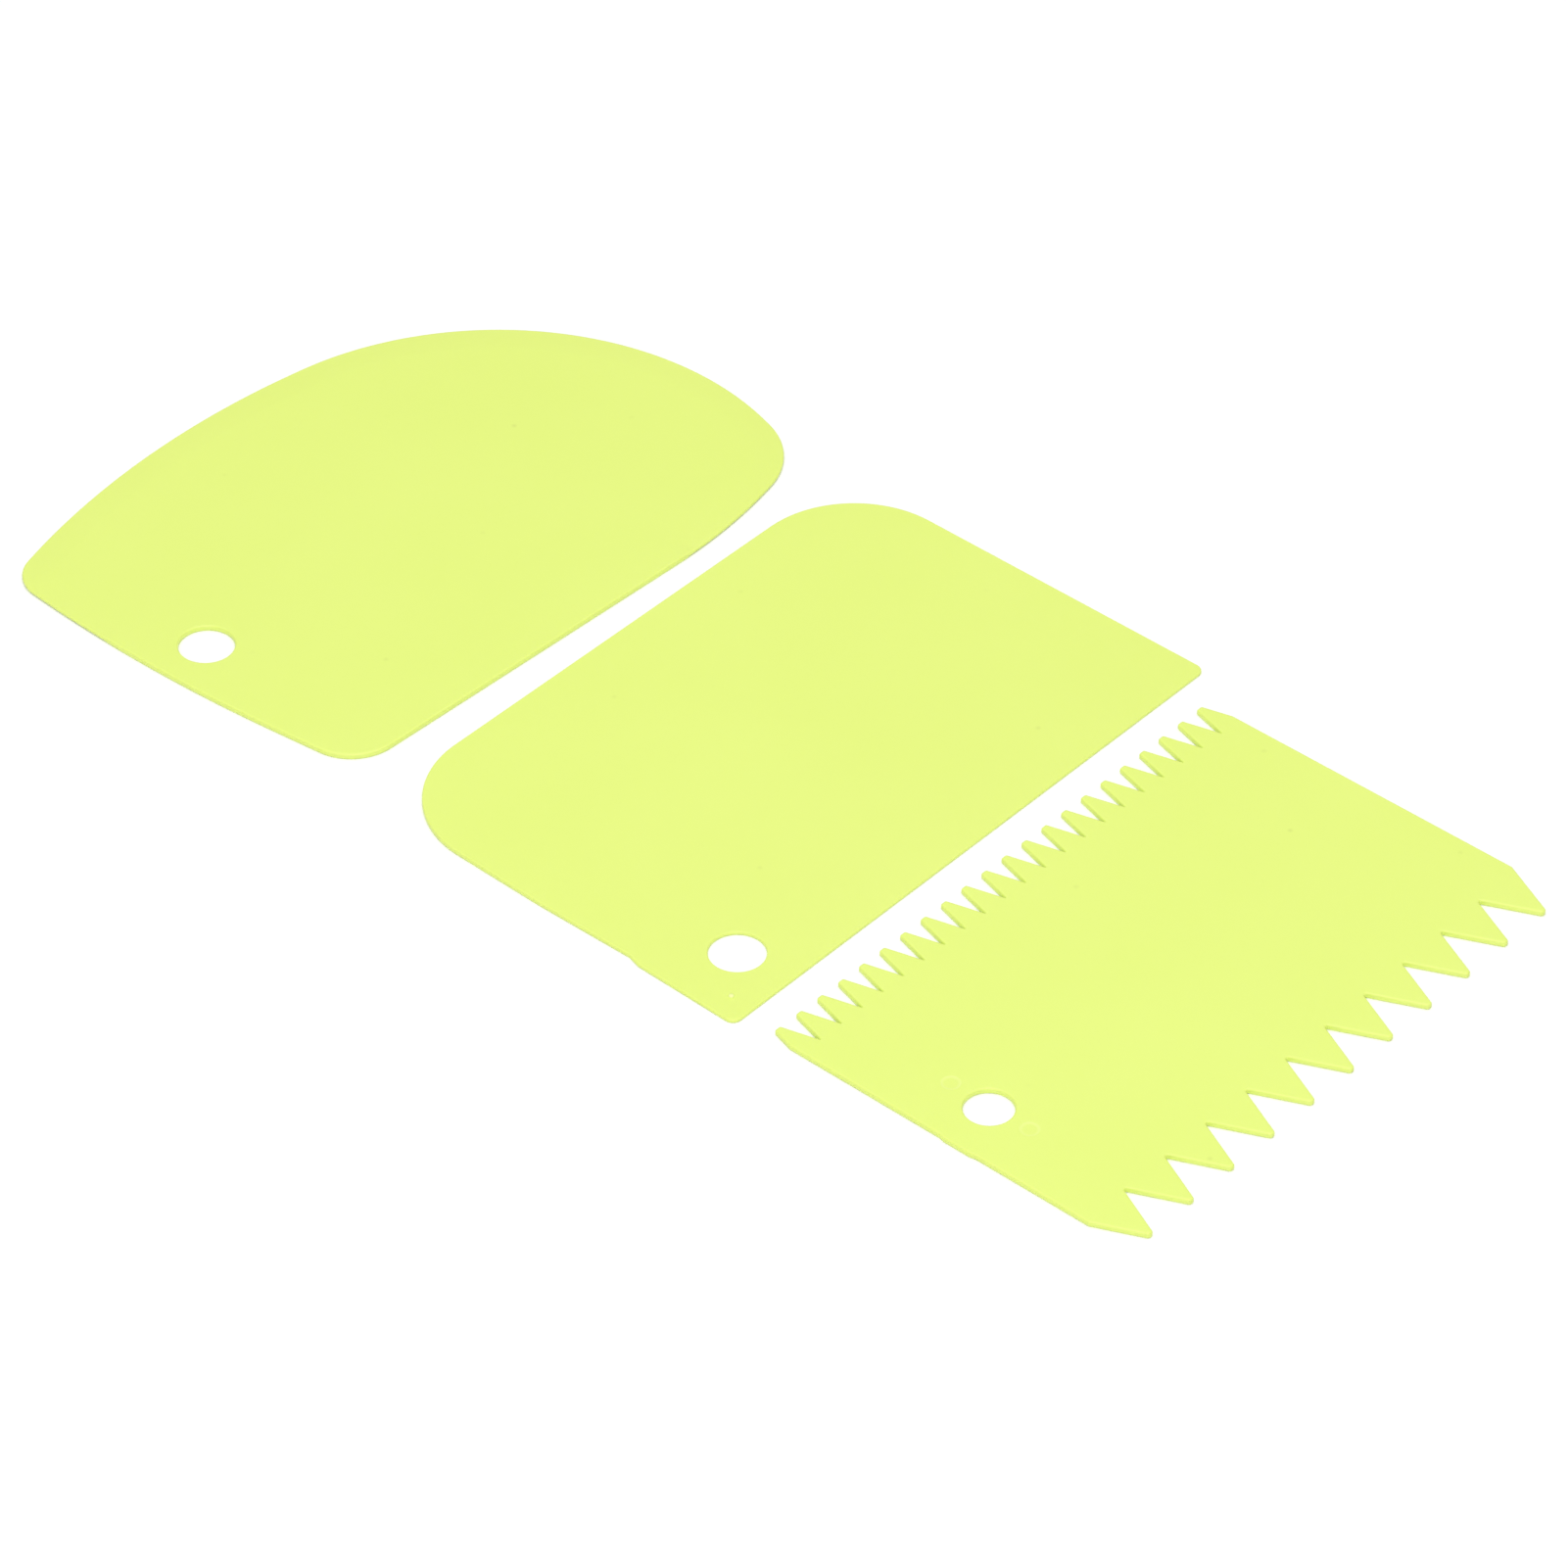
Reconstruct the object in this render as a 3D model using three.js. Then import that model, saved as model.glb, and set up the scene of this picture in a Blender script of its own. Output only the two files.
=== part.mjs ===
// A set of flat moulded scrapers for dough, cream and icing, lying side by side.
// Millimetres, +Z up. X runs along the row, Y along the scrapers' long edges.
import * as THREE from "three";

// The moulded sheet that all the scrapers share
const sheetThickness = 1.0;
const workingEdgeThickness = 0.6;
const rimChamfer = 0.15;
const facetSag = 0.03;
const plasticColour = 0xe9fa87;
const plasticRoughness = 0.45;

// Bowl scraper: grip edge along Y at x = 0, curved edge towards -X, hole side at y = 0
const bowlGripLength = 87.8;
const bowlBendEnd = 111.5;
const bowlBendSetback = 5.7;
const bowlCrownDepth = 77.4;
const bowlCrownReach = 129.3;
const bowlBackDepth = 90.7;
const bowlBackStation = 32.0;
const bowlTailDepth = 78.3;
const bowlTailDrop = 6.0;
const bowlSideDepth = 43.8;
const bowlSideBow = 6.8;
const bowlGripCornerRadius = 9.0;
const bowlBendRadius = 104;
const bowlEndRadius = 16.8;
const bowlCrownRadius = 55.5;
const bowlBackRadius = 150;
const bowlTailRadius = 7.6;
const bowlSideRadius = 298;
const bowlHoleRadius = 4.8;
const bowlHoleDepth = 41.2;
const bowlHoleInset = 11.3;

// Bench scraper: working edge along Y at x = 0, round corners at the back, hole side at y = 0.
// Both sides draw in towards the back, and the back leans a little deeper on the hole side.
const benchEdgeLength = 118.3;
const benchHoleSideDepth = 80.2;
const benchFarSideDepth = 79.7;
const benchHoleSideDraw = 1.5;
const benchFarSideDraw = 0.4;
const benchEdgeCornerRadius = 1.7;
const benchBackCornerRadius = 19.3;
const benchHoleRadius = 4.75;
const benchHoleDepth = 10.95;
const benchHoleInset = 13.1;

// Where the bench scraper's moulding gate was pared off, a little too deep
const benchScarStart = 20.8;
const benchScarRamp = 2.5;
const benchScarLength = 22;
const benchScarDepth = 0.65;

// Icing comb: small teeth at x = 0, large teeth at the far edge, hole side at y = 0
const combWidth = 109.7;
const combDepth = 73.9;
const combShoulderRadius = 0.5;
const combHoleRadius = 4.15;
const combHoleInset = 9.8;

const smallToothPitch = 5.035;
const smallToothStart = 1.8;
const smallToothDepth = 6.25;
const smallTipHalfWidth = 0.63;
const smallTipRadius = 0.4;
const smallRootHalfWidth = 0.15;

const largeToothPitch = 9.987;
const largeToothStart = 4.5;
const largeToothDepth = 9.57;
const largeTipHalfWidth = 0.48;
const largeTipRadius = 0.54;
const largeRootHalfWidth = 0.1;

// What is left of the comb's moulding gate
const combGateWidth = 5.3;
const combGateOffset = 1.9;
const combGateProud = 0.25;
const combGateRamp = 1;

// How the scrapers lie: clear gaps along the row, offsets of their hole sides, turns in degrees
const bowlToBenchGap = 5.0;
const benchToCombGap = 5.9;
const bowlOffset = 2.1;
const combOffset = 1.4;
const bowlTurn = -2.4;
const benchTurn = -0.1;

// A corner of an outline, rounded by a tangent arc
function corner(x, y, radius = 0) {
  return { point: new THREE.Vector2(x, y), radius };
}

// The bend at a corner, and how much of each neighbouring edge its arc takes up
function bendAt(corners, index) {
  const { point, radius } = corners[index];
  const before = corners.at(index - 1).point.clone().sub(point);
  const after = corners[(index + 1) % corners.length].point.clone().sub(point);
  const halfAngle = before.angleTo(after) / 2;
  const tangent = radius / Math.tan(halfAngle);
  return { point, radius, before, after, halfAngle, tangent };
}

// Points on a corner's arc. Where two arcs would meet on an edge, each keeps its share of the edge.
function cornerArc(bends, index) {
  const { point, radius, before, after, halfAngle, tangent } = bends[index];
  if (radius === 0) {
    return [point];
  }
  const previous = bends.at(index - 1);
  const next = bends[(index + 1) % bends.length];
  const share = Math.min(
    1,
    before.length() / (tangent + previous.tangent),
    after.length() / (tangent + next.tangent),
  );
  const fitted = radius * share;
  const towards = before.clone().normalize().add(after.clone().normalize()).normalize();
  const centre = point.clone().addScaledVector(towards, fitted / Math.sin(halfAngle));
  const side = Math.sign(before.cross(after));
  const sweep = side * (2 * halfAngle - Math.PI);
  const start = towards.angle() + Math.PI - sweep / 2;
  const steps = arcSteps(fitted, Math.abs(sweep));
  const points = [];
  for (let step = 0; step <= steps; step += 1) {
    const angle = start + (sweep * step) / steps;
    points.push(new THREE.Vector2(Math.cos(angle), Math.sin(angle)).multiplyScalar(fitted).add(centre));
  }
  return points;
}

// Straight steps that stay within the facet sag of an arc
function arcSteps(radius, sweep) {
  const step = 2 * Math.acos(Math.max(0, 1 - facetSag / radius));
  return Math.max(1, Math.ceil(sweep / step));
}

function roundedOutline(corners) {
  const bends = corners.map((_, index) => bendAt(corners, index));
  return bends.flatMap((_, index) => cornerArc(bends, index));
}

function circleOutline(x, y, radius) {
  const steps = arcSteps(radius, 2 * Math.PI);
  const points = [];
  for (let step = 0; step < steps; step += 1) {
    const angle = (2 * Math.PI * step) / steps;
    points.push(new THREE.Vector2(x + radius * Math.cos(angle), y + radius * Math.sin(angle)));
  }
  return points;
}

// A flat moulding with chamfered rims. Its top face follows the thickness that thicknessAt gives for each x.
function moulding(outline, hole, thicknessAt) {
  const shape = new THREE.Shape(outline);
  shape.holes.push(new THREE.Path(hole));
  const geometry = new THREE.ExtrudeGeometry(shape, {
    depth: sheetThickness - 2 * rimChamfer,
    bevelEnabled: true,
    bevelThickness: rimChamfer,
    bevelSize: rimChamfer,
    bevelOffset: -rimChamfer,
    bevelSegments: 1,
  });
  geometry.translate(0, 0, rimChamfer);
  const position = geometry.attributes.position;
  for (let index = 0; index < position.count; index += 1) {
    const share = thicknessAt(position.getX(index)) / sheetThickness;
    position.setZ(index, position.getZ(index) * share);
  }
  geometry.computeVertexNormals();
  return geometry;
}

// The same thickness all over
function evenThickness() {
  return sheetThickness;
}

// Full thickness at the thick edge, the working edge's thickness at the thin one
function thinningBetween(thickEdgeX, thinEdgeX) {
  return (x) => THREE.MathUtils.mapLinear(x, thickEdgeX, thinEdgeX, sheetThickness, workingEdgeThickness);
}

function scraper(name, geometry) {
  const plastic = new THREE.MeshStandardMaterial({
    color: plasticColour,
    roughness: plasticRoughness,
    metalness: 0,
  });
  const mesh = new THREE.Mesh(geometry, plastic);
  mesh.name = name;
  return mesh;
}

function bowlScraper() {
  const outline = roundedOutline([
    corner(0, 0, bowlGripCornerRadius),
    corner(0, bowlGripLength, bowlBendRadius),
    corner(-bowlBendSetback, bowlBendEnd, bowlEndRadius),
    corner(-bowlCrownDepth, bowlCrownReach, bowlCrownRadius),
    corner(-bowlBackDepth, bowlBackStation, bowlBackRadius),
    corner(-bowlTailDepth, -bowlTailDrop, bowlTailRadius),
    corner(-bowlSideDepth, -bowlSideBow, bowlSideRadius),
  ]);
  const hole = circleOutline(-bowlHoleDepth, bowlHoleInset - bowlSideBow, bowlHoleRadius);
  return scraper("bowl_scraper", moulding(outline, hole, evenThickness));
}

function benchScraper() {
  const sideAt = (depth) => (benchHoleSideDraw * depth) / benchHoleSideDepth;
  const scarDeepest = benchScarStart + benchScarRamp;
  const scarEnd = benchScarStart + benchScarLength;
  const outline = roundedOutline([
    corner(0, 0, benchEdgeCornerRadius),
    corner(0, benchEdgeLength, benchEdgeCornerRadius),
    corner(-benchFarSideDepth, benchEdgeLength - benchFarSideDraw, benchBackCornerRadius),
    corner(-benchHoleSideDepth, benchHoleSideDraw, benchBackCornerRadius),
    corner(-scarEnd, sideAt(scarEnd)),
    corner(-scarDeepest, sideAt(scarDeepest) + benchScarDepth),
    corner(-benchScarStart, sideAt(benchScarStart)),
  ]);
  const hole = circleOutline(-benchHoleDepth, benchHoleInset, benchHoleRadius);
  return scraper("bench_scraper", moulding(outline, hole, thinningBetween(-benchHoleSideDepth, 0)));
}

// One row of teeth along Y with its tips at tipX, pointing along outward (+1 or -1), from low y to high y
function toothRow(tipX, outward, { pitch, start, depth, tipHalf, tipRadius, rootHalf }) {
  const last = Math.floor((combWidth - 2 * start) / pitch);
  const flankSlope = (pitch / 2 - tipHalf - rootHalf) / depth;
  const shoulderX = (reach) => tipX - (outward * (reach - tipHalf)) / flankSlope;
  const rootX = tipX - outward * depth;
  const row = [corner(shoulderX(start), 0, combShoulderRadius)];
  for (let tooth = 0; tooth <= last; tooth += 1) {
    const y = start + tooth * pitch;
    row.push(corner(tipX, y - tipHalf, tipRadius), corner(tipX, y + tipHalf, tipRadius));
    if (tooth < last) {
      const gapY = y + pitch / 2;
      row.push(corner(rootX, gapY - rootHalf), corner(rootX, gapY + rootHalf));
    }
  }
  const farReach = combWidth - start - last * pitch;
  row.push(corner(shoulderX(farReach), combWidth, combShoulderRadius));
  return row;
}

function icingComb() {
  const largeRow = toothRow(combDepth, 1, {
    pitch: largeToothPitch,
    start: largeToothStart,
    depth: largeToothDepth,
    tipHalf: largeTipHalfWidth,
    tipRadius: largeTipRadius,
    rootHalf: largeRootHalfWidth,
  });
  const smallRow = toothRow(0, -1, {
    pitch: smallToothPitch,
    start: smallToothStart,
    depth: smallToothDepth,
    tipHalf: smallTipHalfWidth,
    tipRadius: smallTipRadius,
    rootHalf: smallRootHalfWidth,
  });
  const gateX = combDepth / 2 + combGateOffset;
  const gateTop = combGateWidth / 2;
  const gateFoot = gateTop + combGateRamp;
  const gate = [
    corner(gateX - gateFoot, 0),
    corner(gateX - gateTop, -combGateProud),
    corner(gateX + gateTop, -combGateProud),
    corner(gateX + gateFoot, 0),
  ];
  const outline = roundedOutline([...largeRow, ...smallRow.reverse(), ...gate]);
  const hole = circleOutline(combDepth / 2, combHoleInset, combHoleRadius);
  return scraper("icing_comb", moulding(outline, hole, evenThickness));
}

// Lay each scraper beside the one before it, with its gap along X and its hole side's offset along Y
function layInRow(scrapers) {
  const row = new THREE.Group();
  let edge = 0;
  for (const { mesh, gap, offset, turn } of scrapers) {
    mesh.rotation.z = THREE.MathUtils.degToRad(turn);
    const box = new THREE.Box3().setFromObject(mesh, true);
    mesh.position.set(edge + gap - box.min.x, offset - box.min.y, 0);
    edge += gap + box.max.x - box.min.x;
    row.add(mesh);
  }
  return row;
}

const scraperSet = layInRow([
  { mesh: bowlScraper(), gap: 0, offset: bowlOffset, turn: bowlTurn },
  { mesh: benchScraper(), gap: bowlToBenchGap, offset: 0, turn: benchTurn },
  { mesh: icingComb(), gap: benchToCombGap, offset: combOffset, turn: 0 },
]);

// The set's origin is the middle of its underside
const reach = new THREE.Box3().setFromObject(scraperSet, true);
const middle = reach.getCenter(new THREE.Vector3());
scraperSet.position.set(-middle.x, -middle.y, -reach.min.z);

export default scraperSet;
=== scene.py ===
"""A set of moulded cake scrapers in satin lime plastic, lying side by side on a pale floor."""

import math
from collections import namedtuple

import bmesh
import bpy
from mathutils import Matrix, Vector


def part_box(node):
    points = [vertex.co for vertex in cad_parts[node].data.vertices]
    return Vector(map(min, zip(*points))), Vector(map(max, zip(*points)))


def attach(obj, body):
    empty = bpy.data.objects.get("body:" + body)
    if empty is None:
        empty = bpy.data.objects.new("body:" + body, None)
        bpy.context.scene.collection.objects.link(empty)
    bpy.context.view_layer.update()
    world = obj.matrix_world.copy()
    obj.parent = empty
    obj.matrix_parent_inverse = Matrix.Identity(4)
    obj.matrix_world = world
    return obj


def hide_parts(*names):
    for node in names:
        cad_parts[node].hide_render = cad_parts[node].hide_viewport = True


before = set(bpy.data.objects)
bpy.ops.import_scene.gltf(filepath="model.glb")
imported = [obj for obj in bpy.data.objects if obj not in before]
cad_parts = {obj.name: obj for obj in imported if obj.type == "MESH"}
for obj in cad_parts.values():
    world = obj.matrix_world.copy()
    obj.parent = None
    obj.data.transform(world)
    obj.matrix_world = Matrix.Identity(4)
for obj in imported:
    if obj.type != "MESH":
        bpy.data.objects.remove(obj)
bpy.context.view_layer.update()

bl_info = {
    "name": "Cake Scraper Set",
    "version": (1, 0, 0),
    "blender": (4, 5, 0),
    "location": "View3D > Sidebar > Scrapers",
    "description": "Models a set of moulded cake scrapers and the stage that they lie on",
    "category": "Add Mesh",
}

MM = 0.001
MERGE_DISTANCE = 0.001 * MM
PHOTO_PIXELS = 1601
SENSOR_WIDTH_MM = 36.0
STRAIN = "strain"

# Meshes of the mouldings
LEAST_ARC_STEPS = 2
ROUND_PROFILE = 0.5
SHADE_ANGLE = math.radians(35)
CREASE_ANGLE = math.radians(1)
# Upward part of a face's normal, below which it is a wall, and above which it lies level or almost so
WALL_NORMAL = 0.5
LEVEL_NORMAL = 0.998
# Place of the curved edge in the list of the bowl scraper's corners
CURVED_EDGE = slice(2, 6)
# Shares of the pip's radius and height
PIP_FLANK_WIDTH = 1 / 4
PIP_FLANK_RISE = 2 / 3
PIP_CROWN_WIDTH = 1 / 3
PIP_CROWN_RISE = 1 / 3

# The plastic
PLASTIC_IOR = 1.49
CLOUD_DETAIL = 3.0
GRAIN_DETAIL = 2.0
# How far red, green and blue light spread, as shares of the glow's reach
GLOW_SPREAD = (1.0, 1.0, 0.5)

# The stage, its lengths in metres
FLOOR_WIDTH = 6.0
FLOOR_DROP = 0.02 * MM
OVERHEAD_PLACE = (-0.1, 0.1, 1.5)
OVERHEAD_WIDTH = 1.6
FRONT_PLACE = (0.7, -0.86, 1.1)
FRONT_WIDTH = 1.2
FLOOR_ROUGHNESS = 0.9
WHITE = (1, 1, 1, 1)

Corner = namedtuple("Corner", "x y radius", defaults=(0.0,))
Bend = namedtuple("Bend", "before after half tangent")
Run = namedtuple("Run", "start end centre radius sweep")
Ring = namedtuple("Ring", "x y radius")
Step = namedtuple("Step", "width rise strain")


def length(label, description, millimetres):
    """A length property, given here in millimetres and kept in metres."""
    return bpy.props.FloatProperty(
        name=label,
        description=description,
        default=millimetres * MM,
        min=0.0,
        precision=5,
        subtype="DISTANCE",
        unit="LENGTH",
    )


def angle(label, description, degrees):
    """An angle property, given here in degrees and kept in radians."""
    return bpy.props.FloatProperty(
        name=label,
        description=description,
        default=math.radians(degrees),
        subtype="ANGLE",
        unit="ROTATION",
    )


def colour(label, description, red, green, blue):
    """A scene-linear colour property."""
    return bpy.props.FloatVectorProperty(
        name=label,
        description=description,
        default=(red, green, blue),
        size=3,
        min=0.0,
        max=1.0,
        subtype="COLOR",
    )


def factor(label, description, value):
    """A share from 0 to 1."""
    return bpy.props.FloatProperty(
        name=label,
        description=description,
        default=value,
        min=0.0,
        max=1.0,
        subtype="FACTOR",
    )


class SheetSizes(bpy.types.PropertyGroup):
    """The moulded sheet that all the scrapers share."""

    thickness: length("Thickness", "Thickness of the sheet away from its working edge", 1.0)
    working_edge: length("Working Edge", "Thickness at a thinned working edge", 0.6)
    foot_radius: length("Foot Radius", "Radius that rounds the lower rims", 0.15)
    bevel_width: length("Bevel Width", "Width of the band that thins towards a bevelled edge", 5.4)
    edge_share: factor("Edge Share", "Share of the thickness that a bevelled edge keeps", 0.6)
    rim_steps: bpy.props.IntProperty(
        name="Rim Steps",
        description="Flat steps round a rim",
        default=5,
        min=1,
    )
    arc_sag: length("Arc Sag", "How far a straight step may stay inside a round outline", 0.004)


class BowlScraperSizes(bpy.types.PropertyGroup):
    """Bowl scraper: grip edge along Y at x = 0, curved edge towards -X, hole side at y = 0."""

    grip_length: length("Grip Length", "Straight grip edge, up to its bend", 87.8)
    bend_end: length("Bend End", "How far along the grip edge its far end lies", 111.5)
    bend_setback: length("Bend Setback", "How far the grip edge's far end leans back", 5.7)
    crown_depth: length("Crown Depth", "Depth of the far corner", 77.4)
    crown_reach: length("Crown Reach", "Reach of the far corner along the grip edge", 129.3)
    back_depth: length("Back Depth", "Depth of the curved edge's deepest corner", 90.7)
    back_station: length("Back Station", "Where that corner lies along the grip edge", 32.0)
    tail_depth: length("Tail Depth", "Depth of the tight corner on the hole side", 78.3)
    tail_drop: length("Tail Drop", "How far that corner drops past the hole side", 6.0)
    side_depth: length("Side Depth", "Depth of the hole side's lowest corner", 43.8)
    side_bow: length("Side Bow", "How far the hole side bows out", 6.8)
    grip_corner_radius: length("Grip Corner Radius", "Corner of grip edge and hole side", 9.0)
    bend_radius: length("Bend Radius", "Bend in the grip edge", 104.0)
    end_radius: length("End Radius", "Corner at the grip edge's far end", 16.8)
    crown_radius: length("Crown Radius", "Round far corner", 55.5)
    back_radius: length("Back Radius", "Long curved edge", 150.0)
    tail_radius: length("Tail Radius", "Tight corner on the hole side", 7.6)
    side_radius: length("Side Radius", "Bow of the hole side", 298.0)
    hole_radius: length("Hole Radius", "Hanging hole", 4.8)
    hole_depth: length("Hole Depth", "Hanging hole's distance from the grip edge", 41.2)
    hole_inset: length("Hole Inset", "Hanging hole's distance from the bow of the hole side", 11.3)
    bevel_side: length("Bevel Side", "Where the bevel ends on the hole side, from the grip edge", 55.6)
    bevel_grip: length("Bevel Grip", "Where the bevel ends on the grip edge, from the hole side", 78.7)
    rim_radius: length("Rim Radius", "Radius that rounds the upper rims", 0.36)
    turn: angle("Turn", "How far the scraper lies turned in the row", -2.4)


class BenchScraperSizes(bpy.types.PropertyGroup):
    """Bench scraper: working edge along Y at x = 0, round corners at the back, hole side at y = 0."""

    edge_length: length("Edge Length", "Straight working edge", 118.3)
    hole_side_depth: length("Hole Side Depth", "From the working edge to the back, on the hole side", 80.2)
    far_side_depth: length("Far Side Depth", "From the working edge to the back, on the far side", 79.7)
    hole_side_draw: length("Hole Side Draw", "How far the hole side draws in at the back", 1.5)
    far_side_draw: length("Far Side Draw", "How far the far side draws in at the back", 0.4)
    edge_corner_radius: length("Edge Corner Radius", "Corners of the working edge", 1.7)
    back_corner_radius: length("Back Corner Radius", "Corners at the back", 19.3)
    hole_radius: length("Hole Radius", "Hanging hole", 4.75)
    hole_depth: length("Hole Depth", "Hanging hole's distance from the working edge", 10.95)
    hole_inset: length("Hole Inset", "Hanging hole's distance from the hole side", 13.1)
    scar_start: length("Scar Start", "Where the pared gate starts, from the working edge", 20.8)
    scar_ramp: length("Scar Ramp", "Length of the steep end of the pared gate", 2.5)
    scar_length: length("Scar Length", "Length of the pared gate", 22.0)
    scar_depth: length("Scar Depth", "Depth of the pared gate", 0.65)
    pip_radius: length("Pip Radius", "Small pip on the face", 0.55)
    pip_height: length("Pip Height", "How far the pip stands out of the face", 0.36)
    pip_depth: length("Pip Depth", "Pip's distance from the working edge", 4.55)
    pip_inset: length("Pip Inset", "Pip's distance from the hole side", 4.5)
    rim_radius: length("Rim Radius", "Radius that rounds the upper rims", 0.26)
    turn: angle("Turn", "How far the scraper lies turned in the row", -0.1)


class SmallTeeth(bpy.types.PropertyGroup):
    """The icing comb's row of fine teeth."""

    pitch: length("Pitch", "From one tip to the next", 5.035)
    start: length("Start", "First tip's distance from the hole side", 1.8)
    depth: length("Depth", "From the tips to the roots", 6.75)
    tip_half_width: length("Tip Half Width", "Half the width of a tip", 0.63)
    tip_radius: length("Tip Radius", "Round corners of a tip", 0.4)
    root_half_width: length("Root Half Width", "Half the width of the flat between two teeth", 0.011)
    root_radius: length("Root Radius", "Round corners of that flat", 0.0)


class LargeTeeth(bpy.types.PropertyGroup):
    """The icing comb's row of coarse teeth."""

    pitch: length("Pitch", "From one tip to the next", 9.987)
    start: length("Start", "First tip's distance from the hole side", 4.5)
    depth: length("Depth", "From the tips to the roots", 9.25)
    tip_half_width: length("Tip Half Width", "Half the width of a tip", 0.48)
    tip_radius: length("Tip Radius", "Round corners of a tip", 0.54)
    root_half_width: length("Root Half Width", "Half the width of the flat between two teeth", 0.248)
    root_radius: length("Root Radius", "Round corners of that flat", 0.3)


class IcingCombSizes(bpy.types.PropertyGroup):
    """Icing comb: small teeth at x = 0, large teeth at the far edge, hole side at y = 0."""

    width: length("Width", "Between the plain sides", 109.7)
    depth: length("Depth", "From the small tips to the large tips", 73.9)
    shoulder_radius: length("Shoulder Radius", "Corner of a plain side and an outer flank", 0.5)
    hole_radius: length("Hole Radius", "Hanging hole, midway between the rows of teeth", 4.15)
    hole_inset: length("Hole Inset", "Hanging hole's distance from the hole side", 9.8)
    gate_width: length("Gate Width", "What is left of the moulding gate, along the hole side", 5.3)
    gate_offset: length("Gate Offset", "Gate's distance from midway between the rows", 1.9)
    gate_proud: length("Gate Proud", "How far the gate stands out of the hole side", 0.25)
    gate_ramp: length("Gate Ramp", "Length of each end of the gate", 1.0)
    pin_radius: length("Pin Radius", "Round marks that the ejector pins leave", 1.75)
    pin_inset: length("Pin Inset", "Pin marks' distance from the hole side", 10.1)
    pin_spread: length("Pin Spread", "Half the distance between the pin marks", 8.05)
    pin_ring: length("Pin Ring", "Width of the whitened ring round a pin mark", 0.25)
    pin_slope: length("Pin Slope", "Width of the slope inside the ring", 0.5)
    pin_sink: length("Pin Sink", "How far a pin mark drops into the face", 0.12)
    rim_radius: length("Rim Radius", "Radius that rounds the upper rims", 0.36)
    small_teeth: bpy.props.PointerProperty(type=SmallTeeth, name="Small Teeth")
    large_teeth: bpy.props.PointerProperty(type=LargeTeeth, name="Large Teeth")


class PlasticLook(bpy.types.PropertyGroup):
    """Satin lime plastic."""

    face: colour("Face", "Colour of the plastic", 0.755, 0.885, 0.205)
    deep: colour("Deep", "Colour where the resin mixed a little stronger", 0.735, 0.875, 0.187)
    strained: colour("Strained", "Colour where strain has whitened the plastic", 0.89, 0.96, 0.42)
    speck: colour("Speck", "Colour of the specks in the resin", 0.67, 0.79, 0.175)
    roughness: factor("Roughness", "Middle roughness of the satin finish", 0.42)
    roughness_spread: factor("Roughness Spread", "How far the roughness wanders", 0.08)
    glow: factor("Glow", "Share of the light that spreads inside the sheet", 0.15)
    glow_reach: length("Glow Reach", "How far light spreads inside the sheet", 1.2)
    pin_strain: factor("Pin Strain", "How far the ring of a pin mark is whitened", 0.25)
    pip_strain: factor("Pip Strain", "How far the pip is whitened", 0.7)
    cloud_size: length("Cloud Size", "Size of the clouds in the resin", 36.0)
    speck_spacing: length("Speck Spacing", "Usual distance between specks", 42.0)
    speck_radius: length("Speck Radius", "Radius of a speck, which fades towards its rim", 0.65)
    grain_size: length("Grain Size", "Size of the grain that the mould leaves", 1.1)
    grain_height: length("Grain Height", "Height of that grain", 0.003)


class StageLook(bpy.types.PropertyGroup):
    """Floor, light and camera."""

    floor: colour("Floor", "Colour of the floor", 0.96, 0.96, 0.96)
    sky: bpy.props.FloatProperty(name="Sky", description="Brightness all round", default=0.44, min=0.0)
    overhead_power: bpy.props.FloatProperty(
        name="Overhead Power",
        description="Power of the large light overhead",
        default=12.2,
        min=0.0,
        unit="POWER",
    )
    front_power: bpy.props.FloatProperty(
        name="Front Power",
        description="Power of the light beside the camera",
        default=10.0,
        min=0.0,
        unit="POWER",
    )
    azimuth: angle("Azimuth", "Camera's turn about the set", 41.4)
    elevation: angle("Elevation", "Camera's height above the floor", 40.11)
    distance: length("Distance", "From the camera to the point it looks at", 1211.5)
    aim_x: length("Aim X", "Point on the floor that the camera looks at", 13.6)
    aim_y: length("Aim Y", "How far that point lies in front of the set's middle", 11.82)
    focal_pixels: bpy.props.FloatProperty(
        name="Focal Length",
        description="Focal length in pixels of the photograph",
        default=7535.0,
    )


class ScraperSetSettings(bpy.types.PropertyGroup):
    """Everything that a user would change."""

    sheet: bpy.props.PointerProperty(type=SheetSizes, name="Sheet")
    bowl: bpy.props.PointerProperty(type=BowlScraperSizes, name="Bowl Scraper")
    bench: bpy.props.PointerProperty(type=BenchScraperSizes, name="Bench Scraper")
    comb: bpy.props.PointerProperty(type=IcingCombSizes, name="Icing Comb")
    plastic: bpy.props.PointerProperty(type=PlasticLook, name="Plastic")
    stage: bpy.props.PointerProperty(type=StageLook, name="Stage")


# Outlines, drawn as by hand: straight runs are extruded, arcs are spun

def point_run(point):
    """A run that is only a corner."""
    return Run(point, point, point, 0.0, 0.0)


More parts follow.
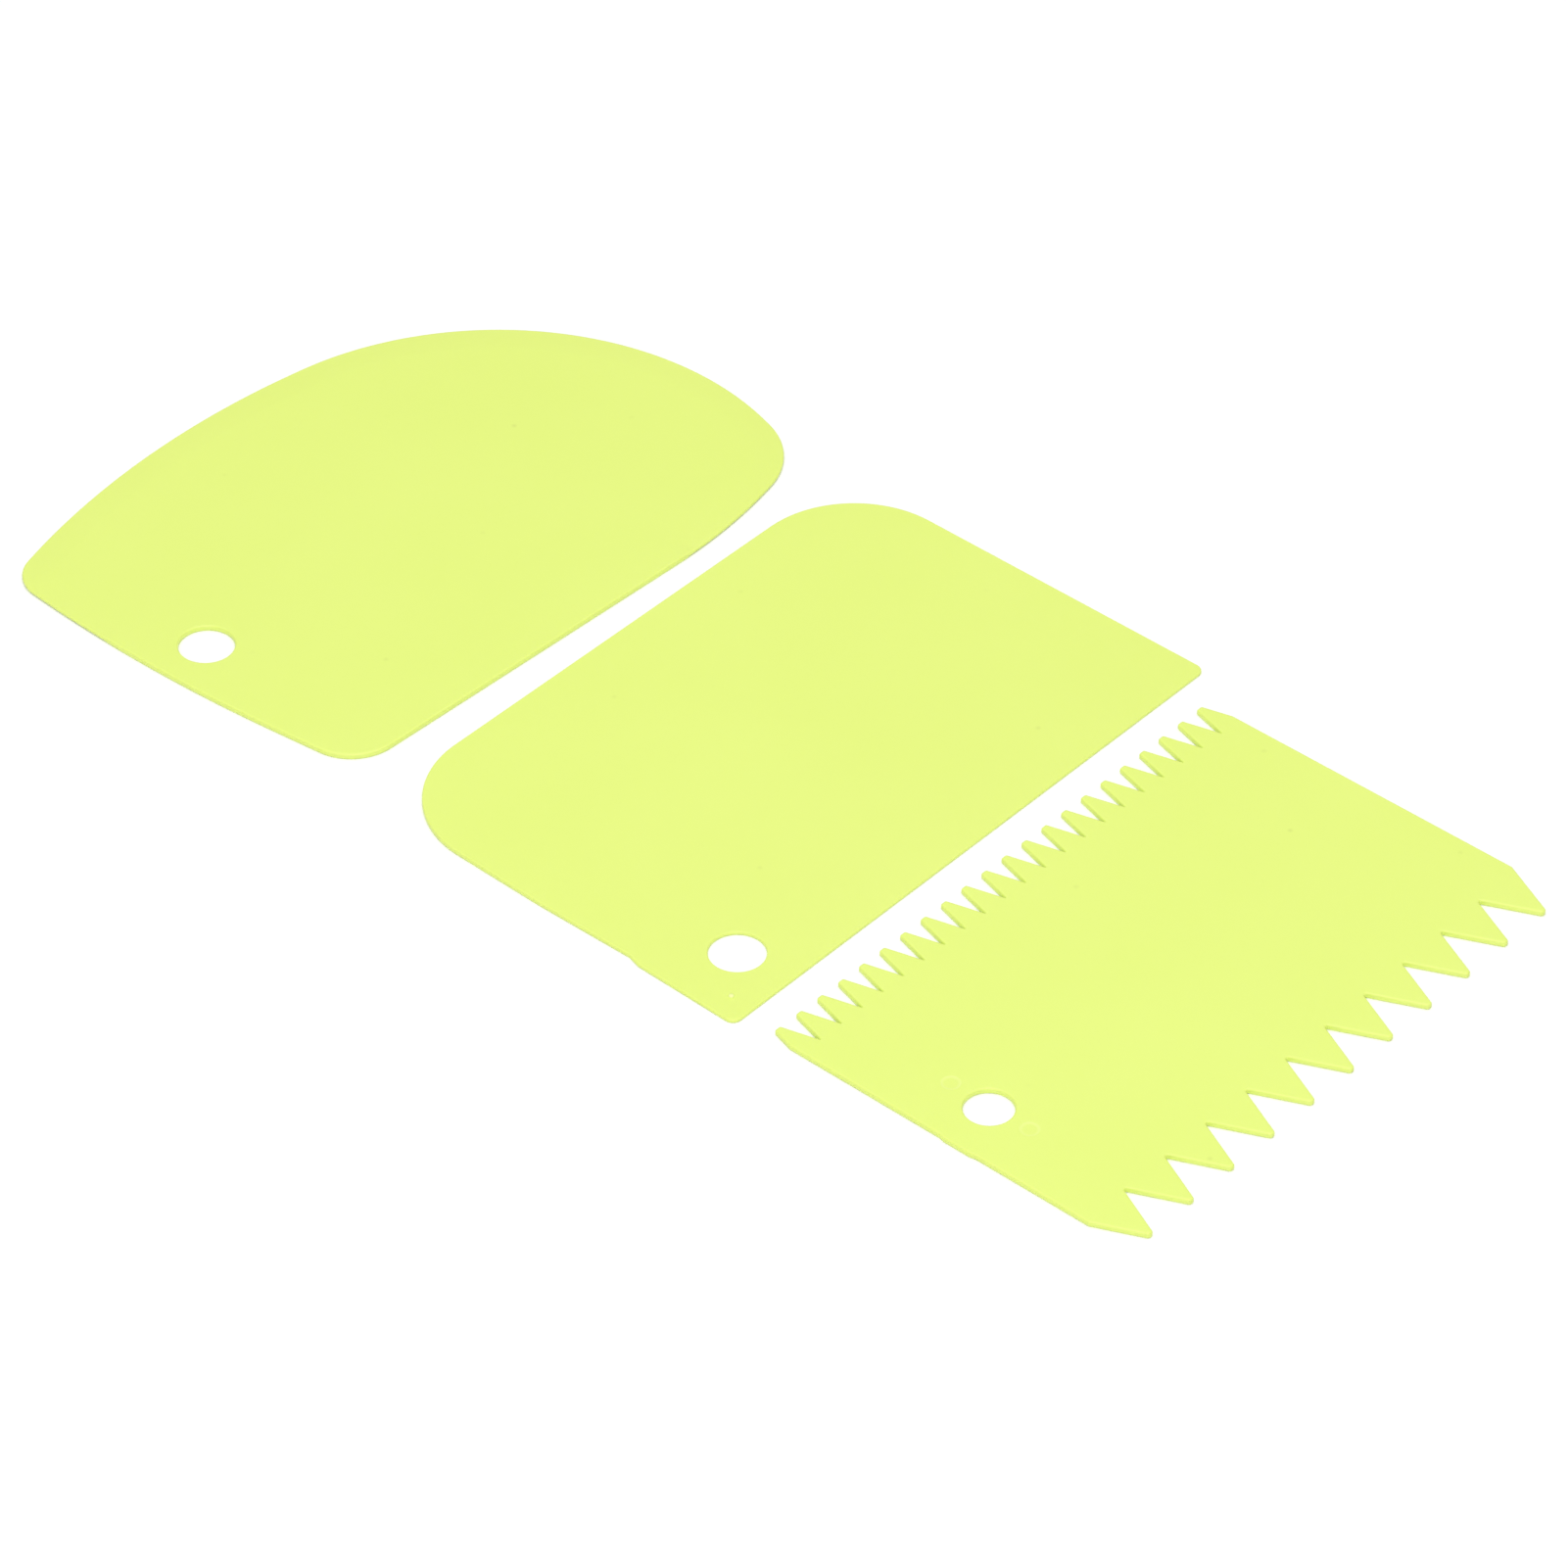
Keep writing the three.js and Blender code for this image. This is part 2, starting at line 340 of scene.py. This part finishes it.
def fit_runs(corners, closed):
    """The arc at each corner. Arcs that would meet on an edge share it."""
    points = [Vector((corner.x, corner.y)) for corner in corners]
    count = len(points)
    bends = []
    for index, corner in enumerate(corners):
        open_end = not closed and index in (0, count - 1)
        before = points[index - 1] - points[index]
        after = points[(index + 1) % count] - points[index]
        half = before.angle(after) / 2
        tangent = 0.0 if open_end else corner.radius / math.tan(half)
        bends.append(Bend(before, after, half, tangent))
    runs = []
    for index, (before, after, half, tangent) in enumerate(bends):
        point = points[index]
        if tangent == 0:
            runs.append(point_run(point))
            continue
        previous_tangent = bends[index - 1].tangent
        next_tangent = bends[(index + 1) % count].tangent
        share = min(
            1.0,
            before.length / (tangent + previous_tangent),
            after.length / (tangent + next_tangent),
        )
        inward = (before.normalized() + after.normalized()).normalized()
        radius = corners[index].radius * share
        turn = math.copysign(math.pi - 2 * half, after.cross(before))
        runs.append(
            Run(
                point + before.normalized() * tangent * share,
                point + after.normalized() * tangent * share,
                point + inward * radius / math.sin(half),
                radius,
                turn,
            )
        )
    return runs


def arc_steps(radius, sweep, sag):
    """Straight steps that keep within the sag of an arc."""
    step = 2 * math.acos(max(0.0, 1 - sag / radius))
    return max(LEAST_ARC_STEPS, math.ceil(abs(sweep) / step))


def extrude_by(shift):
    """Extrude the selected vertex along a straight run."""
    if shift.length > MERGE_DISTANCE:
        bpy.ops.mesh.extrude_region_move(TRANSFORM_OT_translate={"value": (shift.x, shift.y, 0)})


def draw_path(name, corners, sag, closed=False):
    """Draw an outline round its corners."""
    return draw_runs(name, fit_runs(corners, closed), sag, closed)


def draw_runs(name, runs, sag, closed=False):
    """Draw an outline from one vertex, and leave it in object mode."""
    bpy.ops.object.select_all(action="DESELECT")
    bpy.ops.mesh.primitive_plane_add(size=MM)
    path = bpy.context.object
    path.name = name
    bpy.ops.object.mode_set(mode="EDIT")
    bpy.ops.mesh.select_mode(type="VERT")
    bpy.ops.mesh.select_all(action="SELECT")
    bpy.ops.mesh.merge(type="CENTER")
    bpy.ops.transform.translate(value=runs[0].start.to_3d())
    here = runs[0].start
    for run in runs:
        extrude_by(run.start - here)
        if run.sweep:
            # Spin turns clockwise for a positive angle
            bpy.ops.mesh.spin(
                steps=arc_steps(run.radius, run.sweep, sag),
                angle=-run.sweep,
                center=run.centre.to_3d(),
                axis=(0, 0, 1),
            )
        here = run.end
    if closed:
        extrude_by(runs[0].start - here)
    merge_doubles()
    bpy.ops.object.mode_set(mode="OBJECT")
    return path


def merge_doubles():
    """Merge the vertices that lie on each other."""
    bpy.ops.mesh.select_all(action="SELECT")
    bpy.ops.mesh.remove_doubles(threshold=MERGE_DISTANCE)


def inner_run(run, inset):
    """The run that lies inside another one."""
    share = 1 - inset / run.radius
    start = run.centre.lerp(run.start, share)
    end = run.centre.lerp(run.end, share)
    return Run(start, end, run.centre, run.radius * share, run.sweep)


def nearest_vertex(path, x, y):
    """The vertex of a path that lies nearest to a place."""
    place = Vector((x, y))
    return min((v.co.xy for v in path.data.vertices), key=lambda point: (point - place).length)


def repeat(path, count, shift):
    """Repeat a path in a row, each copy joined to the one before."""
    modifier = path.modifiers.new("repeat", "ARRAY")
    modifier.count = count
    modifier.use_relative_offset = False
    modifier.use_constant_offset = True
    modifier.constant_offset_displace = shift
    modifier.use_merge_vertices = True
    modifier.merge_threshold = MERGE_DISTANCE
    bpy.context.view_layer.objects.active = path
    bpy.ops.object.modifier_apply(modifier=modifier.name)


def join(paths):
    """Join paths into the first one and close them up."""
    bpy.ops.object.select_all(action="DESELECT")
    for path in paths:
        path.select_set(True)
    bpy.context.view_layer.objects.active = paths[0]
    bpy.ops.object.join()
    bpy.ops.object.mode_set(mode="EDIT")
    merge_doubles()
    bpy.ops.object.mode_set(mode="OBJECT")
    return paths[0]


# Mouldings, raised from their outlines

def select_in_edit(piece, faces=None, edges=None):
    """Select the faces or edges that a test picks."""
    bpy.ops.mesh.select_mode(type="FACE" if faces else "EDGE")
    bpy.ops.mesh.select_all(action="DESELECT")
    mesh = bmesh.from_edit_mesh(piece.data)
    test = faces or edges
    for part in mesh.faces if faces else mesh.edges:
        if test(part):
            part.select_set(True)
    bmesh.update_edit_mesh(piece.data)


def is_rim(edge):
    """True for the edge of a level face and an upright wall."""
    if len(edge.link_faces) != 2:
        return False
    level = [abs(face.normal.z) > WALL_NORMAL for face in edge.link_faces]
    return level[0] != level[1]


def round_rims(piece, radius, steps, upper):
    """Round the rims of the upper or the lower face."""
    select_in_edit(
        piece,
        edges=lambda edge: is_rim(edge) and (edge.verts[0].co.z > MERGE_DISTANCE) == upper,
    )
    bpy.ops.mesh.bevel(
        offset=radius,
        offset_type="OFFSET",
        segments=steps,
        profile=ROUND_PROFILE,
        affect="EDGES",
        clamp_overlap=False,
        loop_slide=False,
    )


def is_within(part, ring):
    """True for an edge or a face that lies inside a ring or on it."""
    centre = Vector((ring.x, ring.y))
    return all((v.co.xy - centre).length < ring.radius + MERGE_DISTANCE for v in part.verts)


def raise_sheet(piece, sheet, rim_radius, holes, marks, thins_from=0.0):
    """Fill an outline round its holes, raise it, thin it towards x = 0 if asked, and round its rims."""
    bpy.context.view_layer.objects.active = piece
    bpy.ops.object.mode_set(mode="EDIT")
    for ring in holes + marks:
        bpy.ops.mesh.primitive_circle_add(
            vertices=arc_steps(ring.radius, 2 * math.pi, sheet.arc_sag),
            radius=ring.radius,
            location=(ring.x, ring.y, 0),
        )
    bpy.ops.mesh.select_all(action="SELECT")
    bpy.ops.mesh.fill(use_beauty=True)
    # Fill may cover a ring, so all of them are cleared, and each mark then gets one face
    for ring in holes + marks:
        select_in_edit(piece, faces=lambda face: is_within(face, ring))
        bpy.ops.mesh.delete(type="FACE")
    for mark in marks:
        select_in_edit(piece, edges=lambda edge: is_within(edge, mark))
        bpy.ops.mesh.edge_face_add()
    bpy.ops.mesh.select_all(action="SELECT")
    bpy.ops.mesh.extrude_region_move(TRANSFORM_OT_translate={"value": (0, 0, sheet.thickness)})
    if thins_from:
        # Rotate turns the other way when there is no window
        bpy.ops.transform.rotate(
            value=math.atan((sheet.thickness - sheet.working_edge) / thins_from),
            orient_axis="Y",
            center_override=(thins_from, 0, sheet.thickness),
        )
    bpy.ops.mesh.select_all(action="SELECT")
    bpy.ops.mesh.normals_make_consistent(inside=False)
    round_rims(piece, rim_radius, sheet.rim_steps, upper=True)
    round_rims(piece, sheet.foot_radius, sheet.rim_steps, upper=False)
    bpy.ops.object.mode_set(mode="OBJECT")


def is_crease(edge):
    """True for the edge of two faces that lie almost level, but not in one plane."""
    faces = edge.link_faces
    if len(faces) != 2 or min(abs(face.normal.z) for face in faces) < LEVEL_NORMAL:
        return False
    return edge.calc_face_angle() > CREASE_ANGLE


def thin_edge(piece, sheet, beyond):
    """Press the rims beyond a bevel's ends flatter, so that the band inside them thins from both faces."""
    bpy.context.view_layer.objects.active = piece
    bpy.ops.object.mode_set(mode="EDIT")
    select_in_edit(
        piece,
        faces=lambda face: abs(face.normal.z) < LEVEL_NORMAL and beyond(face.calc_center_median()),
    )
    bpy.ops.transform.resize(
        value=(1, 1, sheet.edge_share),
        center_override=(0, 0, sheet.thickness / 2),
    )
    select_in_edit(piece, edges=is_crease)
    bpy.ops.mesh.mark_sharp()
    bpy.ops.object.mode_set(mode="OBJECT")


def shape_mark(piece, mark, steps):
    """Shape a round mark on the upper face, from its rim inwards."""
    if STRAIN not in piece.data.attributes:
        bpy.ops.geometry.attribute_add(name=STRAIN, domain="POINT", data_type="FLOAT")
    bpy.ops.object.mode_set(mode="EDIT")
    select_in_edit(piece, faces=lambda face: face.normal.z > WALL_NORMAL and is_within(face, mark))
    for step in steps:
        bpy.ops.mesh.inset(thickness=step.width, depth=step.rise)
        bpy.ops.mesh.attribute_set(value_float=step.strain)
    bpy.ops.object.mode_set(mode="OBJECT")


def lay_in_place(piece, node, turn):
    """Turn the mesh and lay it where the solid of that name lies."""
    bpy.context.view_layer.objects.active = piece
    bpy.ops.object.mode_set(mode="EDIT")
    bpy.ops.mesh.select_all(action="SELECT")
    # Rotate turns the other way when there is no window
    bpy.ops.transform.rotate(value=-turn, orient_axis="Z", center_override=(0, 0, 0))
    mesh = bmesh.from_edit_mesh(piece.data)
    lowest = Vector([min(v.co[axis] for v in mesh.verts) for axis in range(3)])
    highest = Vector([max(v.co[axis] for v in mesh.verts) for axis in range(3)])
    low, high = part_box(node)
    shift = (low + high - lowest - highest) / 2
    bpy.ops.transform.translate(value=(shift.x, shift.y, low.z - lowest.z))
    bpy.ops.object.mode_set(mode="OBJECT")


def finish_piece(piece, node, material):
    """Shade the piece, give it its plastic and let it stand for the solid."""
    bpy.ops.object.select_all(action="DESELECT")
    piece.select_set(True)
    bpy.context.view_layer.objects.active = piece
    bpy.ops.object.shade_smooth_by_angle(angle=SHADE_ANGLE)
    modifier = piece.modifiers.new("level faces", "WEIGHTED_NORMAL")
    modifier.keep_sharp = True
    bpy.ops.object.modifier_apply(modifier=modifier.name)
    piece.data.materials.append(material)
    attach(piece, "root")
    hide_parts(node)


# The plastic

def add_noise(tree, place, size, detail):
    """Noise of a given size, from 0 to 1."""
    noise = tree.nodes.new("ShaderNodeTexNoise")
    noise.inputs["Scale"].default_value = 1 / size
    noise.inputs["Detail"].default_value = detail
    tree.links.new(place, noise.inputs["Vector"])
    return noise.outputs["Fac"]


def add_specks(tree, place, look):
    """Strength of the specks: one in each cell, some of them too faint to see."""
    cells = tree.nodes.new("ShaderNodeTexVoronoi")
    cells.voronoi_dimensions = "2D"
    cells.inputs["Scale"].default_value = 1 / look.speck_spacing
    tree.links.new(place, cells.inputs["Vector"])
    strength = tree.nodes.new("ShaderNodeSeparateColor")
    tree.links.new(cells.outputs["Color"], strength.inputs["Color"])
    fade = tree.nodes.new("ShaderNodeMapRange")
    fade.inputs["From Max"].default_value = look.speck_radius / look.speck_spacing
    fade.inputs["To Max"].default_value = 0.0
    tree.links.new(cells.outputs["Distance"], fade.inputs["Value"])
    tree.links.new(strength.outputs["Red"], fade.inputs["To Min"])
    return fade.outputs["Result"]


def add_strain(tree):
    """How far the plastic is whitened, from the attribute that the marks carry."""
    strain = tree.nodes.new("ShaderNodeAttribute")
    strain.attribute_name = STRAIN
    return strain.outputs["Fac"]


def add_tint(tree, amount, tint):
    """A mix towards a tint, from a colour that is still to be set."""
    mix = tree.nodes.new("ShaderNodeMix")
    mix.data_type = "RGBA"
    mix.inputs["B"].default_value = (*tint, 1)
    tree.links.new(amount, mix.inputs["Factor"])
    return mix


def lime_plastic(look):
    """Satin lime plastic, its colour and sheen a little uneven, as a moulding is."""
    material = bpy.data.materials.get("satin_lime_plastic")
    if material:
        return material
    material = bpy.data.materials.new("satin_lime_plastic")
    material.use_nodes = True
    tree = material.node_tree
    shader = tree.nodes["Principled BSDF"]
    shader.inputs["IOR"].default_value = PLASTIC_IOR
    shader.inputs["Subsurface Weight"].default_value = look.glow
    shader.inputs["Subsurface Radius"].default_value = GLOW_SPREAD
    shader.inputs["Subsurface Scale"].default_value = look.glow_reach

    place = tree.nodes.new("ShaderNodeTexCoord").outputs["Object"]
    cloud = add_noise(tree, place, look.cloud_size, CLOUD_DETAIL)
    resin = add_tint(tree, cloud, look.face)
    resin.inputs["A"].default_value = (*look.deep, 1)
    whitened = add_tint(tree, add_strain(tree), look.strained)
    tree.links.new(resin.outputs["Result"], whitened.inputs["A"])
    speckled = add_tint(tree, add_specks(tree, place, look), look.speck)
    tree.links.new(whitened.outputs["Result"], speckled.inputs["A"])
    tree.links.new(speckled.outputs["Result"], shader.inputs["Base Color"])

    sheen = tree.nodes.new("ShaderNodeMapRange")
    sheen.inputs["To Min"].default_value = look.roughness - look.roughness_spread
    sheen.inputs["To Max"].default_value = look.roughness + look.roughness_spread
    tree.links.new(cloud, sheen.inputs["Value"])
    tree.links.new(sheen.outputs["Result"], shader.inputs["Roughness"])
    grain = add_noise(tree, place, look.grain_size, GRAIN_DETAIL)
    bump = tree.nodes.new("ShaderNodeBump")
    bump.inputs["Distance"].default_value = look.grain_height
    tree.links.new(grain, bump.inputs["Height"])
    tree.links.new(bump.outputs["Normal"], shader.inputs["Normal"])
    return material


# The scrapers

def bowl_corners(bowl):
    """The bowl scraper's outline, anticlockwise from the grip edge's near corner."""
    return [
        Corner(0, 0, bowl.grip_corner_radius),
        Corner(0, bowl.grip_length, bowl.bend_radius),
        Corner(-bowl.bend_setback, bowl.bend_end, bowl.end_radius),
        Corner(-bowl.crown_depth, bowl.crown_reach, bowl.crown_radius),
        Corner(-bowl.back_depth, bowl.back_station, bowl.back_radius),
        Corner(-bowl.tail_depth, -bowl.tail_drop, bowl.tail_radius),
        Corner(-bowl.side_depth, -bowl.side_bow, bowl.side_radius),
    ]


def draw_bevel_line(piece, bowl, sheet):
    """Draw the inner line of the bowl scraper's bevel, and return its ends on the outline."""
    inset = sheet.bevel_width
    grip_end = nearest_vertex(piece, 0, bowl.bevel_grip)
    side_end = nearest_vertex(piece, -bowl.bevel_side, -bowl.side_bow)
    curved_edge = fit_runs(bowl_corners(bowl), closed=True)[CURVED_EDGE]
    line = [
        point_run(grip_end),
        point_run(grip_end + Vector((-inset, 0))),
        *[inner_run(run, inset) for run in curved_edge],
        point_run(side_end + Vector((0, inset))),
        point_run(side_end),
    ]
    join([piece, draw_runs("bevel_line", line, sheet.arc_sag)])
    return grip_end, side_end


def bench_corners(bench):
    """The bench scraper's outline, anticlockwise from the working edge's near corner."""
    slope = bench.hole_side_draw / bench.hole_side_depth
    deepest = bench.scar_start + bench.scar_ramp
    scar_end = bench.scar_start + bench.scar_length
    return [
        Corner(0, 0, bench.edge_corner_radius),
        Corner(0, bench.edge_length, bench.edge_corner_radius),
        Corner(-bench.far_side_depth, bench.edge_length - bench.far_side_draw, bench.back_corner_radius),
        Corner(-bench.hole_side_depth, bench.hole_side_draw, bench.back_corner_radius),
        Corner(-scar_end, slope * scar_end),
        Corner(-deepest, slope * deepest + bench.scar_depth),
        Corner(-bench.scar_start, slope * bench.scar_start),
    ]


def last_tooth(comb, teeth):
    """Number of the last tooth in a row, counted from 0."""
    return math.floor((comb.width - 2 * teeth.start) / teeth.pitch)


def tooth_gaps(name, comb, teeth, tip_x, outward, sag):
    """A row's gaps, from the middle of the first tip to that of the last: one is drawn and repeated."""
    tip = teeth.tip_half_width
    root = teeth.root_half_width
    middle = teeth.start + teeth.pitch / 2
    end = teeth.start + teeth.pitch
    root_x = tip_x - outward * teeth.depth
    gap = [
        Corner(tip_x, teeth.start),
        Corner(tip_x, teeth.start + tip, teeth.tip_radius),
        Corner(root_x, middle - root, teeth.root_radius),
        Corner(root_x, middle + root, teeth.root_radius),
        Corner(tip_x, end - tip, teeth.tip_radius),
        Corner(tip_x, end),
    ]
    path = draw_path(name, gap, sag)
    repeat(path, last_tooth(comb, teeth), (0, teeth.pitch, 0))
    return path


def outer_flank(comb, teeth, tip_x, outward, far):
    """From the middle of a row's outer tip down to the shoulder on the plain side."""
    tip_y = teeth.start
    side_y = 0.0
    towards = -1
    if far:
        tip_y += last_tooth(comb, teeth) * teeth.pitch
        side_y = comb.width
        towards = 1
    tip = teeth.tip_half_width
    slope = (teeth.pitch / 2 - tip - teeth.root_half_width) / teeth.depth
    drop = (abs(side_y - tip_y) - tip) / slope
    return [
        Corner(tip_x, tip_y),
        Corner(tip_x, tip_y + towards * tip, teeth.tip_radius),
        Corner(tip_x - outward * drop, side_y, comb.shoulder_radius),
    ]


def comb_outline(comb, sag):
    """The icing comb's outline: two rows of gaps, joined by the plain sides."""
    small = comb.small_teeth
    large = comb.large_teeth
    gate_x = comb.depth / 2 + comb.gate_offset
    top = comb.gate_width / 2
    foot = top + comb.gate_ramp
    gate = [
        Corner(gate_x - foot, 0),
        Corner(gate_x - top, -comb.gate_proud),
        Corner(gate_x + top, -comb.gate_proud),
        Corner(gate_x + foot, 0),
    ]
    small_near = outer_flank(comb, small, tip_x=0, outward=-1, far=False)
    large_near = outer_flank(comb, large, tip_x=comb.depth, outward=1, far=False)
    small_far = outer_flank(comb, small, tip_x=0, outward=-1, far=True)
    large_far = outer_flank(comb, large, tip_x=comb.depth, outward=1, far=True)
    return join(
        [
            tooth_gaps("icing_comb_moulding", comb, small, tip_x=0, outward=-1, sag=sag),
            tooth_gaps("large_gaps", comb, large, tip_x=comb.depth, outward=1, sag=sag),
            draw_path("hole_side", small_near + gate + large_near[::-1], sag),
            draw_path("plain_side", small_far + large_far[::-1], sag),
        ]
    )


class SCRAPERS_OT_bowl_scraper(bpy.types.Operator):
    """Model the bowl scraper"""

    bl_idname = "scrapers.bowl_scraper"
    bl_label = "Bowl Scraper"

    def execute(self, context):
        settings = context.scene.scraper_set
        bowl = settings.bowl
        sheet = settings.sheet
        piece = draw_path("bowl_scraper_moulding", bowl_corners(bowl), sheet.arc_sag, closed=True)
        grip_end, side_end = draw_bevel_line(piece, bowl, sheet)
        hole = Ring(-bowl.hole_depth, bowl.hole_inset - bowl.side_bow, bowl.hole_radius)
        raise_sheet(piece, sheet, bowl.rim_radius, [hole], [])
        thin_edge(piece, sheet, lambda place: place.x < side_end.x or place.y > grip_end.y)
        lay_in_place(piece, "bowl_scraper", bowl.turn)
        finish_piece(piece, "bowl_scraper", lime_plastic(settings.plastic))
        return {"FINISHED"}


class SCRAPERS_OT_bench_scraper(bpy.types.Operator):
    """Model the bench scraper"""

    bl_idname = "scrapers.bench_scraper"
    bl_label = "Bench Scraper"

    def execute(self, context):
        settings = context.scene.scraper_set
        bench = settings.bench
        sheet = settings.sheet
        piece = draw_path("bench_scraper_moulding", bench_corners(bench), sheet.arc_sag, closed=True)
        hole = Ring(-bench.hole_depth, bench.hole_inset, bench.hole_radius)
        pip = Ring(-bench.pip_depth, bench.pip_inset, bench.pip_radius)
        raise_sheet(piece, sheet, bench.rim_radius, [hole], [pip], thins_from=-bench.hole_side_depth)
        strain = settings.plastic.pip_strain
        flank = Step(bench.pip_radius * PIP_FLANK_WIDTH, bench.pip_height * PIP_FLANK_RISE, strain)
        crown = Step(bench.pip_radius * PIP_CROWN_WIDTH, bench.pip_height * PIP_CROWN_RISE, strain)
        shape_mark(piece, pip, [flank, crown])
        lay_in_place(piece, "bench_scraper", bench.turn)
        finish_piece(piece, "bench_scraper", lime_plastic(settings.plastic))
        return {"FINISHED"}


class SCRAPERS_OT_icing_comb(bpy.types.Operator):
    """Model the icing comb"""

    bl_idname = "scrapers.icing_comb"
    bl_label = "Icing Comb"

    def execute(self, context):
        settings = context.scene.scraper_set
        comb = settings.comb
        sheet = settings.sheet
        piece = comb_outline(comb, sheet.arc_sag)
        middle = comb.depth / 2
        hole = Ring(middle, comb.hole_inset, comb.hole_radius)
        pins = [
            Ring(middle + side * comb.pin_spread, comb.pin_inset, comb.pin_radius)
            for side in (-1, 1)
        ]
        raise_sheet(piece, sheet, comb.rim_radius, [hole], pins)
        ring = Step(comb.pin_ring, 0.0, settings.plastic.pin_strain)
        slope = Step(comb.pin_slope, -comb.pin_sink, 0.0)
        for pin in pins:
            shape_mark(piece, pin, [ring, slope])
        lay_in_place(piece, "icing_comb", 0.0)
        finish_piece(piece, "icing_comb", lime_plastic(settings.plastic))
        return {"FINISHED"}


# The stage

def add_softbox(name, place, width, power):
    """A round soft light that faces the middle of the set."""
    bpy.ops.object.light_add(type="AREA", location=place)
    softbox = bpy.context.object
    softbox.name = name
    softbox.data.shape = "DISK"
    softbox.data.size = width
    softbox.data.energy = power
    softbox.rotation_euler = (-Vector(place)).to_track_quat("-Z", "Y").to_euler()


def pale_floor(look):
    """A plain pale floor."""
    material = bpy.data.materials.new("pale_floor")
    material.use_nodes = True
    shader = material.node_tree.nodes["Principled BSDF"]
    shader.inputs["Base Color"].default_value = (*look.floor, 1)
    shader.inputs["Roughness"].default_value = FLOOR_ROUGHNESS
    shader.inputs["Specular IOR Level"].default_value = 0.0
    return material


class SCRAPERS_OT_stage(bpy.types.Operator):
    """Lay the floor, and set the light and the camera"""

    bl_idname = "scrapers.stage"
    bl_label = "Stage"

    def execute(self, context):
        look = context.scene.scraper_set.stage
        bpy.ops.object.select_all(action="DESELECT")
        bpy.ops.mesh.primitive_plane_add(size=FLOOR_WIDTH, location=(0, 0, -FLOOR_DROP))
        floor = context.object
        floor.name = "floor"
        floor.data.materials.append(pale_floor(look))

        world = bpy.data.worlds.new("studio")
        world.use_nodes = True
        sky = world.node_tree.nodes["Background"]
        sky.inputs["Color"].default_value = WHITE
        sky.inputs["Strength"].default_value = look.sky
        context.scene.world = world

        add_softbox("overhead_softbox", OVERHEAD_PLACE, OVERHEAD_WIDTH, look.overhead_power)
        add_softbox("front_softbox", FRONT_PLACE, FRONT_WIDTH, look.front_power)

        aim = Vector((look.aim_x, -look.aim_y, 0))
        back = Vector(
            (
                math.sin(look.azimuth) * math.cos(look.elevation),
                -math.cos(look.azimuth) * math.cos(look.elevation),
                math.sin(look.elevation),
            )
        )
        bpy.ops.object.camera_add(
            location=aim + look.distance * back,
            rotation=(math.pi / 2 - look.elevation, 0, look.azimuth),
        )
        camera = context.object
        camera.data.sensor_width = SENSOR_WIDTH_MM
        camera.data.lens = SENSOR_WIDTH_MM * look.focal_pixels / PHOTO_PIXELS
        context.scene.camera = camera
        context.scene.view_settings.view_transform = "Standard"
        return {"FINISHED"}


# The add-on

class SCRAPERS_PT_panel(bpy.types.Panel):
    """Lists the pieces and the stage"""

    bl_label = "Cake Scraper Set"
    bl_idname = "SCRAPERS_PT_panel"
    bl_space_type = "VIEW_3D"
    bl_region_type = "UI"
    bl_category = "Scrapers"

    def draw(self, context):
        for operator in OPERATORS:
            self.layout.operator(operator.bl_idname)


OPERATORS = (
    SCRAPERS_OT_stage,
    SCRAPERS_OT_bowl_scraper,
    SCRAPERS_OT_bench_scraper,
    SCRAPERS_OT_icing_comb,
)
GROUPS = (
    SheetSizes,
    BowlScraperSizes,
    BenchScraperSizes,
    SmallTeeth,
    LargeTeeth,
    IcingCombSizes,
    PlasticLook,
    StageLook,
    ScraperSetSettings,
)
CLASSES = (*GROUPS, *OPERATORS, SCRAPERS_PT_panel)


def register():
    """Register the classes and give the scene its settings."""
    for cls in CLASSES:
        bpy.utils.register_class(cls)
    bpy.types.Scene.scraper_set = bpy.props.PointerProperty(type=ScraperSetSettings)


def unregister():
    """Take the settings and the classes away again."""
    del bpy.types.Scene.scraper_set
    for cls in reversed(CLASSES):
        bpy.utils.unregister_class(cls)


def main():
    """Build the stage and the scrapers."""
    register()
    bpy.ops.scrapers.stage()
    bpy.ops.scrapers.bowl_scraper()
    bpy.ops.scrapers.bench_scraper()
    bpy.ops.scrapers.icing_comb()


if __name__ == "__main__":
    main()
